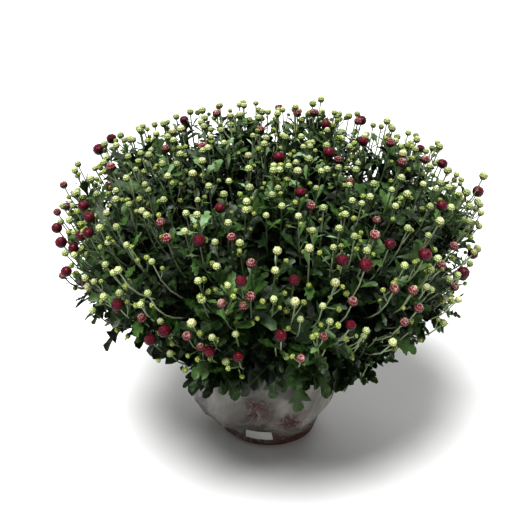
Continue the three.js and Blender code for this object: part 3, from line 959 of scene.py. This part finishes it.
class LeafyStem:
    """All that grows on one main stem: its tubes, leaves and buds."""

    def __init__(self, number, leaves, buds, skin):
        self.number = number
        self.stem = MainStem(number)
        self.draw = self.stem.draw
        self.turn = self.stem.turn
        self.leaves = leaves
        self.buds = buds
        self.skin = skin
        self.leaf_copies = []
        self.bud_copies = []
        self.curve = bpy.data.curves.new("stalks", "CURVE")
        self.curve.dimensions = "3D"
        self.curve.bevel_depth = 1.0
        self.curve.bevel_resolution = 1
        self.curve.resolution_u = 7
        self.curve.use_fill_caps = True

    def add_leaf(self, kind, root, way, face, size, place):
        """One leaf, of a model, tone and width drawn for its place, cut to stay inside the crown. Its tone
        also holds painted shade, darker deep in the crown and low on the plant.
        """
        model = self.pick_leaf(kind, self.draw(place, "leaf_model"))
        cover = LEAF_COVER if root.z > SKIRT_TOP else between(*SKIRT_COVER, self.draw(place, "leaf_cover"))
        size = leaf_size_within(root, way, size, cover)
        # Painted shade: a leaf deep inside the crown gets a darker tone, and one low on the plant too, partly
        # for age
        depth = max(0.0, crown_depth(root + way * size * 0.5))
        aged_and_shaded = min(1.0, max(-1.0, (FRESH_AND_LIT_HEIGHT - root.z) / FRESH_AND_LIT_SPAN))
        near = math.exp(-depth / SHADE_DEPTH)
        tone = TONE_LEAST + TONE_DRAWN * self.draw(place, "leaf_tone") + TONE_PAINTED_SHADE * near - TONE_AGED_AND_SHADED * aged_and_shaded
        width = between(*LEAF_WIDTHS, self.draw(place, "leaf_width"))
        self.leaf_copies.append(copy_of(model, frame_at(root, way, face, size, width), tone))

    def pick_leaf(self, kind, share):
        models = self.leaves[kind]
        return models[int(share * len(models))]

    def grow_main_stem(self):
        stem = self.stem
        foot = stem.collar - UP * STEM_DEPTH
        tube(self.curve, stem.curve, (STEM_RADIUS, STEM_RADIUS * 0.6))
        buried = (foot, foot + UP * BURIED_HANDLE, stem.collar - UP * BURIED_HANDLE, stem.collar)
        tube(self.curve, buried, (STEM_RADIUS * 0.9, STEM_RADIUS))

    def grow_large_leaves(self):
        """The leaves of the solid stem, and those of its places that the solid leaves empty."""
        stem = self.stem
        for place in range(LEAF_PLACES):
            share = (place + 0.5) / LEAF_PLACES
            station = between(*LEAF_STATIONS, share)
            point, tangent = stem.at(station)
            outward = stem.round(station, place * GOLDEN_ANGLE + self.turn(1, "leaf_turn"))
            lean = LEAF_LEAN * between(*LEAF_LEANING, share) * varied(self.draw(place, "leaf_lean"))
            way = leaning(tangent, outward, lean)
            size = LEAF_LENGTH * between(*LEAF_LENGTHENING, share) * varied(self.draw(place, "leaf_length"))
            order = (place - self.number) * LEAF_STRIDE_BACK % LEAF_PLACES
            if order >= FIRST_LEAVES:
                size *= LATER_LEAF_SIZE
            root = point + outward * LEAF_ROOT
            self.add_leaf("large", root, way, tangent * 0.6 + UP * 0.6, size, place)
            self.add_petiole(point, tangent, root + way * size * 0.1)

    def add_petiole(self, point, tangent, end):
        """A leaf's stalk, from the stem into the foot of the blade."""
        middle = point + tangent * (end - point).length * 0.3
        tube(self.curve, (point, middle, middle.lerp(end, 0.6), end), PETIOLE_RADII)

    def grow_inner_leaves(self):
        """The older leaves low on the stem and inside the bush."""
        stem = self.stem
        for place in range(INNER_LEAVES):
            share = (place + 0.5) / INNER_LEAVES
            station = between(*INNER_STATIONS, share)
            point, tangent = stem.at(station)
            outward = stem.round(station, place * GOLDEN_ANGLE + 5.0 * self.draw(2, "inner_turn"))
            drop = between(*INNER_DROPS, self.draw(place, "inner_drop"))
            way = (tangent * 0.35 + outward * 0.9 - UP * drop).normalized()
            size = between(*INNER_LENGTHS, self.draw(place, "inner_length"))
            self.add_leaf("large", point, way, tangent * 0.5 + UP, size, place + 40)

    def grow_hanging_leaf(self, azimuth, place):
        """An old leaf on a long stalk that hangs over the top of the sleeve."""
        out = Vector(polar(1, azimuth, 0))
        height = SLEEVE_TOP + between(*HANGING_HEIGHT, self.draw(place, "old_height"))
        edge = out * (sleeve_radius(SLEEVE_TOP, azimuth) + HANGING_GAP) + UP * height
        point, tangent = self.stem.at(HANGING_STATION)
        path = (point, point + tangent * 0.02, edge - out * 0.02 + UP * 0.008, edge)
        tube(self.curve, path, OLD_PETIOLE_RADII)
        sway = UP.cross(out) * between(-0.5, 0.5, self.draw(place, "old_sway"))
        way = (out * between(*HANGING_REACH, self.draw(place, "old_reach")) - UP + sway).normalized()
        size = between(*HANGING_LENGTH, self.draw(place, "old_length"))
        model = self.pick_leaf("large", self.draw(place, "old_model"))
        tone = between(*HANGING_TONES, self.draw(place, "old_tone"))
        width = between(*HANGING_WIDTHS, self.draw(place, "old_width"))
        self.leaf_copies.append(copy_of(model, frame_at(edge, way, out + UP * 0.5, size, width), tone))

    def grow_branch(self, place):
        """A long stalk from the main stem to its bud, with the leaves along it."""
        stem = self.stem
        neck, ring, turn = stem.neck(place)
        budding = (neck.z - BARE_BELOW) / (SKIRT_BUDS - BARE_BELOW)
        bare = neck.z < SKIRT_BUDS and self.draw(place, "bare") > budding
        if bare:
            neck = neck.lerp(CENTRE, BARE_SHOOT_CUT)
        station = max(BRANCH_LOWEST, 1 - (BRANCH_DROP + BRANCH_SPREAD * ring) / stem.length)
        point, tangent = stem.at(station)
        start = (tangent * 0.8 + stem.round(station, turn) * 0.6).normalized()
        reach = (neck - point).length
        late = clamp((neck.dot(LATE_WAY) - LATE_FROM) / LATE_SPAN)
        pick = self.draw(place, "stage") ** (1 + LATE_POWER * late)
        stage, radius = next((name, size) for share, name, size in STAGE_SHARES if pick < share)
        radius *= 0.86 + 0.26 * self.draw(place, "bud_size")
        facing = ((neck - point).normalized() * 0.4 + stem.normal * 0.15 + UP * 0.7).normalized()
        path = (point, point + start * reach * 0.35, neck - facing * reach * 0.42, neck)
        tube(self.curve, path, (STALK_RADIUS * 1.25, STALK_RADIUS * 0.75))
        self.grow_branch_leaves(path, reach, place)
        if bare:
            return
        self.add_bud(stage, neck, facing, radius, place)
        for twig, share in enumerate(SIDE_BUD_SHARES):
            if self.draw(place, "side_bud", twig) < share:
                self.grow_side_bud(path, place * 3 + twig)

    def add_bud(self, stage, neck, facing, radius, place):
        where = bud_frame(neck, facing, radius, self.turn(place, "bud_turn"))
        self.bud_copies.append(copy_of(self.buds[stage], where, self.draw(place, "bud_tone")))

    def grow_side_bud(self, path, place):
        """A young bud on a short side stalk below the main one."""
        share = between(*SIDE_BUD_STATIONS, self.draw(place, "twig_start"))
        point, tangent = cubic(path, share), cubic_slope(path, share)
        out = crosswise(tangent, self.turn(place, "twig_turn"))
        facing = (tangent * 0.8 + out * 0.5).normalized()
        end = point + facing * between(*SIDE_BUD_LENGTHS, self.draw(place, "twig_length"))
        if crown_depth(end) < -SIDE_BUD_PROUD:
            return
        twig = (point, point.lerp(end, 0.4) + out * 0.002, point.lerp(end, 0.7) + out * 0.001, end)
        tube(self.curve, twig, (STALK_RADIUS * 0.65, STALK_RADIUS * 0.5))
        radius = SIDE_BUD_RADIUS * between(0.75, 1.25, self.draw(place, "twig_bud_size"))
        self.add_bud("small", end, facing, radius, place + 60)

    def grow_branch_leaves(self, path, reach, place):
        """Young leaves along the stalk, smaller towards the bud, and two bract leaves under it."""
        bare = clamp((OPEN_HEIGHT - path[3].z) / OPEN_SPAN)
        for step, (share, kind, size) in enumerate(BRANCH_LEAVES):
            key = place * len(BRANCH_LEAVES) + step
            if share > OPEN_FROM and self.draw(key, "young_dropped") < OPEN_SHARE * bare:
                continue
            station = share + 0.1 * self.draw(key, "young_start")
            point, tangent = cubic(path, station), cubic_slope(path, station)
            out = crosswise(tangent, step * GOLDEN_ANGLE + self.turn(place, "young_turn"))
            way = leaning(tangent, out, 0.5 + 0.55 * self.draw(key, "young_lean"))
            length = size * between(0.75, 1.25, self.draw(key, "young_length")) * min(1.0, 0.6 + reach * 8)
            low = kind == "young" and point.z < SKIRT_TOP
            if low and self.draw(key, "young_lobed") < LOBED_SHARE:
                kind, length = "large", length * LOBED_SIZE
            self.add_leaf(kind, point, way, tangent + UP * 0.4, length, key + 80)

    def finish(self):
        """Joins what has grown into three pieces that stand for the solid stem."""
        label = f"{self.number + 1:02d}"
        node = "leafy_stem_" + label
        stalks = bpy.data.objects.new("stalks_" + label, self.curve)
        link(stalks)
        make_active(stalks)
        bpy.ops.object.convert(target="MESH")
        stalks = new_piece("stalks_" + label)
        set_tone(stalks, self.draw(0, "stalk_tone"))
        stalks.data.materials.append(self.skin)
        smooth(stalks, 60)
        leaves = joined("leaves_" + label, self.leaf_copies)
        buds = joined("buds_" + label, self.bud_copies)
        for piece, slot in ((stalks, "stems"), (leaves, "foliage"), (buds, "buds")):
            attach(piece, "root")
            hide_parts(node)


def angle_between(first, second):
    return abs((first - second + math.pi) % (2 * math.pi) - math.pi)


def hanging_leaf_places():
    """For each outer stem, the azimuths of the old leaves that hang from it, with one side left bare."""
    places = {number: [] for number in range(STEM_COUNT)}
    for place in range(HANGING_LEAVES):
        azimuth = place * GOLDEN_ANGLE + 0.3 * draw(place, 0, DRAWS["old_azimuth"])
        if angle_between(azimuth, BARE_AZIMUTH) > BARE_ANGLE:
            outer = range(STEM_COUNT // 2, STEM_COUNT)
            nearest = min(outer, key=lambda number: angle_between(number * GOLDEN_ANGLE, azimuth))
            places[nearest].append((azimuth, place))
    return places


def grow_plant():
    leaves = leaf_models()
    buds = {stage: bud(stage) for stage in BUD_RINGS}
    skin = stalk_finish()
    for number, hanging in hanging_leaf_places().items():
        stem = LeafyStem(number, leaves, buds, skin)
        stem.grow_main_stem()
        stem.grow_large_leaves()
        stem.grow_inner_leaves()
        for azimuth, place in hanging:
            stem.grow_hanging_leaf(azimuth, place)
        for place in range(BUD_PLACES):
            stem.grow_branch(place)
        stem.finish()
    for model in [*sum(leaves.values(), []), *buds.values()]:
        bpy.data.objects.remove(model)


# ---------- pot, soil and crumbs

POT_SIDES = 96
POT_FOOT_DEPTH = 0.004
BAND_FOOT = POT_HEIGHT - RIM_BAND_HEIGHT
BAND_SLANT = 0.002
SOIL_SIDES = 72
SOIL_RINGS = 14
SOIL_FOOT_DEPTH = 0.01
SOIL_EDGE_GAP = 0.0012
LUMP_HEIGHT = 0.0012
# Each kind of crumb: how many there are and their smallest and largest radius
BARK_CRUMBS = (110, (0.0012, 0.0026))
PERLITE_GRAINS = (60, (0.0008, 0.0016))
CRUMB_EDGE = 0.008
CRUMB_RISE = 0.0004


def pot_radius(height):
    """The pot's outer radius below its rim band."""
    return between(POT_FOOT_RADIUS, POT_RIM_RADIUS - RIM_STEP, height / BAND_FOOT)


def drawn_up(name, sides, radius, foot, depth, outline):
    """A flat cylinder drawn up ring by ring. It stays in edit mode, with its last ring chosen."""
    deselect()
    where = (0, 0, foot + depth / 2)
    bpy.ops.mesh.primitive_cylinder_add(vertices=sides, radius=radius, depth=depth, location=where)
    settle()
    body = new_piece(name)
    begin(body)
    choose(body, "faces", lambda face: face.normal.z > 0.9)
    height = foot + depth
    for wide, high in outline:
        bpy.ops.mesh.extrude_region_move(TRANSFORM_OT_translate={"value": (0, 0, high - height)})
        scale(wide / radius)
        radius, height = wide, high
    return body


def build_pot():
    """A tapered pot, turned in at the lip, hollowed down to its floor and drilled with drain holes."""
    pot = drawn_up("nursery_pot", POT_SIDES, POT_FOOT_RADIUS, 0, POT_FOOT_DEPTH, [
        (pot_radius(BAND_FOOT), BAND_FOOT),
        (POT_RIM_RADIUS, BAND_FOOT),
        (POT_LIP_RADIUS, POT_HEIGHT),
        (POT_LIP_RADIUS - POT_WALL, POT_HEIGHT),
        (POT_RIM_RADIUS - POT_WALL, BAND_FOOT + BAND_SLANT),
        (pot_radius(BAND_FOOT) - POT_WALL, BAND_FOOT - BAND_SLANT),
        (POT_FOOT_RADIUS - POT_WALL + 0.0005, FLOOR_THICKNESS),
    ])
    end()
    drains = []
    for hole in range(DRAIN_HOLES):
        where = polar(DRAIN_RING, 2 * math.pi * hole / DRAIN_HOLES, 0)
        bpy.ops.mesh.primitive_cylinder_add(vertices=24, radius=DRAIN_RADIUS, depth=0.02, location=where)
        drains.append(bpy.context.active_object)
    cutter = joined("drains", drains)
    finish_modifier(pot, "BOOLEAN", object=cutter, operation="DIFFERENCE", solver="EXACT")
    bpy.data.objects.remove(cutter)
    edges = {"limit_method": "ANGLE", "angle_limit": math.radians(40)}
    finish_modifier(pot, "BEVEL", width=0.0005, segments=2, **edges)
    smooth(pot, 35)
    pot.data.materials.clear()
    pot.data.materials.append(pot_finish())
    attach(pot, "root")
    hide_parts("pot")


def build_soil():
    """A body of peat with a lumpy top, inset ring by ring and roughened."""
    foot = FLOOR_THICKNESS + FIT_GAP
    top = POT_RIM_RADIUS - POT_WALL - SOIL_EDGE_GAP
    waist = BAND_FOOT - 0.003
    low = pot_radius(foot) - POT_WALL - FIT_GAP
    soil = drawn_up("potting_soil", SOIL_SIDES, low, foot, SOIL_FOOT_DEPTH, [
        (pot_radius(waist) - POT_WALL - FIT_GAP, waist),
        (top, SOIL_TOP - 0.001),
    ])
    for _ in range(SOIL_RINGS):
        bpy.ops.mesh.inset(thickness=top / (SOIL_RINGS + 1))
    end()
    for vertex in soil.data.vertices:
        inner = max(0.0, 1 - math.hypot(vertex.co.x, vertex.co.y) / top)
        if vertex.co.z > SOIL_TOP - 0.002:
            lump = noise.noise(vertex.co * 90) + 0.5 * noise.noise(vertex.co * 260)
            vertex.co.z += LUMP_HEIGHT * lump * min(1.0, inner * 8)
    smooth(soil, 50)
    soil.data.materials.append(soil_finish())
    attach(soil, "root")
    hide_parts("soil")


def scatter_crumbs():
    """Bark crumbs and perlite grains lying on the soil."""
    bpy.ops.mesh.primitive_ico_sphere_add(subdivisions=1, radius=1)
    crumb = new_piece("crumb")
    begin(crumb)
    choose(crumb, "verts", lambda vertex: vertex.co.z > 0.3)
    bpy.ops.transform.resize(value=(0.7, 1.1, 0.6), center_override=(0, 0, 0))
    end()
    for name, material, (count, sizes) in (
        ("bark_crumbs", soil_finish(), BARK_CRUMBS), ("perlite_grains", perlite_finish(), PERLITE_GRAINS),
    ):
        crumb.data.materials.clear()
        crumb.data.materials.append(material)
        copies = []
        for place in range(count):
            out, azimuth, large, spin, tilt, tone = (draw(count, place, step) for step in range(1, 7))
            radius = (POT_RIM_RADIUS - CRUMB_EDGE) * math.sqrt(out)
            where = Matrix.Translation(polar(radius, 2 * math.pi * azimuth, SOIL_TOP + CRUMB_RISE))
            turned = Matrix.Rotation(6 * spin, 4, "Z") @ Matrix.Rotation(3 * tilt, 4, "X")
            size = between(*sizes, large)
            copies.append(copy_of(crumb, where @ turned @ Matrix.Diagonal((size, size, size, 1)), tone))
        grains = joined(name, copies)
        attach(grains, "root")
    bpy.data.objects.remove(crumb)


# ---------- film sleeve, label

SLEEVE_SIDES = 190
SLEEVE_RINGS = 56
# Each with its height, how dense its lumps are round and up the sleeve, and a shift that sets it apart
FILM_LUMPS = [(0.0045, 1.6, 16, 0), (0.0030, 3.0, 24, 7)]
# Each with its slant, then as above
FILM_CREASES = [(9, 1.7, 9, 3.0), (-14, 2.3, 6, 9.0)]
CREASE_SHARPNESS = 5
CREASE_HEIGHT = 0.0016
HEM_WAVE = 0.001
HEM_WAVES = 5
FILM_INSET = 0.0012
CLING_REACH = 0.005
LABEL_HOLD = 0.9
LABEL_FADE = 0.008
LABEL_GRID = (24, 9)
LABEL_THICKNESS = 0.00025
LOOSE_CORNER = 0.0008


def looseness(height):
    """How far the sleeve is from its tight foot, from 0 to 1."""
    return clamp((height - SLEEVE_RADII[0][0]) / LOOSE_HEIGHT)


def sleeve_radius(height, azimuth):
    """The solid sleeve's middle radius at a height and azimuth."""
    spans = zip(SLEEVE_RADII, SLEEVE_RADII[1:])
    (z0, r0), (z1, r1) = next((span for span in spans if height <= span[1][0]), SLEEVE_RADII[-2:])
    plain = between(r0, r1, clamp((height - z0) / (z1 - z0)))
    folds = FOLD_DEPTH * (1 + math.cos(SLEEVE_FOLDS * azimuth + FOLD_TWIST * height))
    slump = math.exp(-(((height - SAG_HEIGHT) / SAG_SPREAD) ** 2))
    return plain * (1 + looseness(height) * (folds + SAG * slump * (1 - math.cos(azimuth))))


def lumps(azimuth, height, dense_round, dense_up, apart):
    """A smooth noise round the sleeve, from about -1 to 1."""
    return noise.noise(Vector(polar(dense_round, azimuth, height * dense_up + apart)))


def crease(azimuth, height, *shape):
    """A sharp fold line where a smooth noise changes sign, from 0 to 1."""
    return max(0.0, 1 - abs(lumps(azimuth, height, *shape)) * CREASE_SHARPNESS)


def hem_height(azimuth):
    """The sleeve's lower edge, which hangs almost to the floor on one side."""
    share = clamp(0.5 - 1.2 * math.cos(azimuth - HEM_LOW_AZIMUTH))
    return between(*HEM_HEIGHTS, share) + HEM_WAVE * math.sin(HEM_WAVES * azimuth)


def dented(azimuth, height, radius, inside):
    """The film's radius where dents with rays round them draw it in, and how closely it lies on the pot."""
    near = 0.0
    for dent_azimuth, dent_height, reach in DENTS:
        turn = (azimuth - math.radians(dent_azimuth) + math.pi) % (2 * math.pi) - math.pi
        along, up = turn * radius, height - dent_height
        away = math.hypot(along, up) / reach
        if away < 4:
            pull = math.exp(-(away**2))
            radius -= min(DENT_DEPTH, radius - inside) * pull
            ray = 1 - 3 * abs(math.sin(DENT_RAYS / 2 * math.atan2(up, along) + dent_height * 900))
            fading = math.exp(-((away / 1.8) ** 2))
            radius += DENT_RAY_HEIGHT * max(-0.4, ray) * min(1.0, away * 1.5) * fading
            near = max(near, min(1.0, 1.6 * pull) * min(1.0, 0.6 - 0.8 * ray * min(1.0, away)))
    return max(radius, inside), near


def film_radius(height, azimuth):
    """The film's radius with its soft lumps, creases and dents, and how closely it lies on the pot."""
    soft = sum(rise * lumps(azimuth, height, *shape) for rise, *shape in FILM_LUMPS)
    sharp = sum(crease(azimuth + slant * height, height, *shape) for slant, *shape in FILM_CREASES)
    radius = sleeve_radius(height, azimuth) + looseness(height) * (soft + CREASE_HEIGHT * sharp - FILM_INSET)
    beside = ((azimuth - LABEL_AZIMUTH) / LABEL_SPREAD) ** 4
    above = (max(0.0, height - LABEL_TOP) / LABEL_FADE) ** 2
    backed = LABEL_HOLD * math.exp(-beside - above) * min(1.0, height / LABEL_FOOT)
    radius = between(radius, LABEL_BACK + LABEL_SLOPE * height, backed)
    inside = POT_LIP_RADIUS if height > BAND_FOOT - 0.002 else pot_radius(max(0.0, height))
    inside += FILM_CLEARANCE
    radius, near = dented(azimuth, height, radius, inside)
    return radius, clamp(max(1 - (radius - inside) / CLING_REACH, near))


def build_sleeve():
    """A tube of film drawn up ring by ring, then pulled into folds and creases."""
    deselect()
    bpy.ops.mesh.primitive_circle_add(vertices=SLEEVE_SIDES, radius=1, fill_type="NOTHING")
    sleeve = new_piece("film_tube")
    begin(sleeve)
    choose(sleeve, "verts", lambda vertex: True)
    for _ in range(SLEEVE_RINGS):
        bpy.ops.mesh.extrude_region_move(TRANSFORM_OT_translate={"value": (0, 0, 1 / SLEEVE_RINGS)})
    end()
    cling = sleeve.data.attributes.new("cling", "FLOAT", "POINT")
    nearness = []
    for vertex in sleeve.data.vertices:
        azimuth = math.atan2(vertex.co.y, vertex.co.x)
        height = between(hem_height(azimuth), SLEEVE_TOP, vertex.co.z)
        radius, near = film_radius(height, azimuth)
        nearness.append(0.95 * near)
        vertex.co = polar(radius, azimuth, height)
    cling.data.foreach_set("value", nearness)
    face_outwards(sleeve)
    finish_modifier(sleeve, "SOLIDIFY", thickness=FILM_THICKNESS, offset=-1.0, use_even_offset=True)
    smooth(sleeve, 70)
    sleeve.data.materials.append(film_finish())
    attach(sleeve, "root")
    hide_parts("film_sleeve")


def build_label():
    """A bare paper label bent round the foot of the sleeve, with one corner a little loose."""
    bpy.ops.mesh.primitive_grid_add(x_subdivisions=LABEL_GRID[0], y_subdivisions=LABEL_GRID[1], size=1)
    label = new_piece("paper_label")
    for vertex in label.data.vertices:
        sideways, up = vertex.co.x, vertex.co.y + 0.5
        height = between(LABEL_FOOT, LABEL_TOP, up)
        azimuth = LABEL_AZIMUTH + sideways * LABEL_WIDTH / sleeve_radius(height, LABEL_AZIMUTH)
        corner = LOOSE_CORNER * max(0.0, sideways + up - 1.1)
        radius = film_radius(height, azimuth)[0] + LABEL_STANDOFF + corner
        vertex.co = polar(radius, azimuth, height)
    finish_modifier(label, "SOLIDIFY", thickness=LABEL_THICKNESS, offset=1.0)
    face_outwards(label)
    smooth(label, 50)
    label.data.materials.append(label_finish())
    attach(label, "root")
    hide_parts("label")


# ---------- studio, camera

FLOOR_SIZE = 12
FLOOR_DROP = 0.0002
# The room is bright near the horizon and dimmer overhead: where that change is, and its two strengths
ROOM_LIGHT = {"From Min": 0.15, "From Max": 0.45, "To Min": 0.88, "To Max": 0.16}
AIM = Vector((-0.009, 0, 0.213))
CAMERA_DISTANCE = 1.55
CAMERA_ELEVATION = math.radians(27.5)
CAMERA_LENS = 94.2


def wide_light(name, way, energy, spread):
    """A broad, even light from a far-off side of the room."""
    light = bpy.data.lights.new(name, "SUN")
    light.energy = energy
    light.angle = math.radians(spread)
    lamp = bpy.data.objects.new(name, light)
    lamp.rotation_euler = Vector(way).to_track_quat("Z", "Y").to_euler()
    link(lamp)


def build_room():
    """Soft light from all sides."""
    world = bpy.data.worlds.new("studio_air")
    world.use_nodes = True
    links, air = world.node_tree.links, world.node_tree.nodes
    way = air.new("ShaderNodeSeparateXYZ")
    links.new(air.new("ShaderNodeTexCoord").outputs["Generated"], way.inputs["Vector"])
    dimmer = air.new("ShaderNodeMapRange")
    for socket, value in ROOM_LIGHT.items():
        dimmer.inputs[socket].default_value = value
    links.new(way.outputs["Z"], dimmer.inputs["Value"])
    links.new(dimmer.outputs["Result"], air["Background"].inputs["Strength"])
    air["Background"].inputs["Color"].default_value = (1.0, 1.0, 0.98, 1.0)
    bpy.context.scene.world = world
    bpy.context.scene.view_settings.view_transform = "Standard"
    bpy.context.scene.view_settings.look = "Medium High Contrast"


def build_camera():
    lens = bpy.data.cameras.new("camera")
    lens.lens = CAMERA_LENS
    lens.sensor_width = 36
    camera = bpy.data.objects.new("camera", lens)
    back = Vector((0, -math.cos(CAMERA_ELEVATION), math.sin(CAMERA_ELEVATION)))
    camera.location = AIM + back * CAMERA_DISTANCE
    camera.rotation_euler = (-back).to_track_quat("-Z", "Y").to_euler()
    link(camera)
    bpy.context.scene.camera = camera


def build_studio():
    """A pale paper floor, the room, two broad lights and the camera."""
    deselect()
    bpy.ops.mesh.primitive_plane_add(size=FLOOR_SIZE, location=(0, 0, -FLOOR_DROP))
    floor = new_piece("studio_floor")
    floor.data.materials.append(Finish("studio_paper", (222, 222, 222), 0.9).material)
    build_room()
    wide_light("overhead_diffuser", (-0.18, -0.3, 1), 5.4, 33)
    wide_light("rear_diffuser", (0.3, 1.0, 0.9), 1.2, 40)
    build_camera()


build_studio()
build_pot()
build_soil()
scatter_crumbs()
build_sleeve()
build_label()
grow_plant()
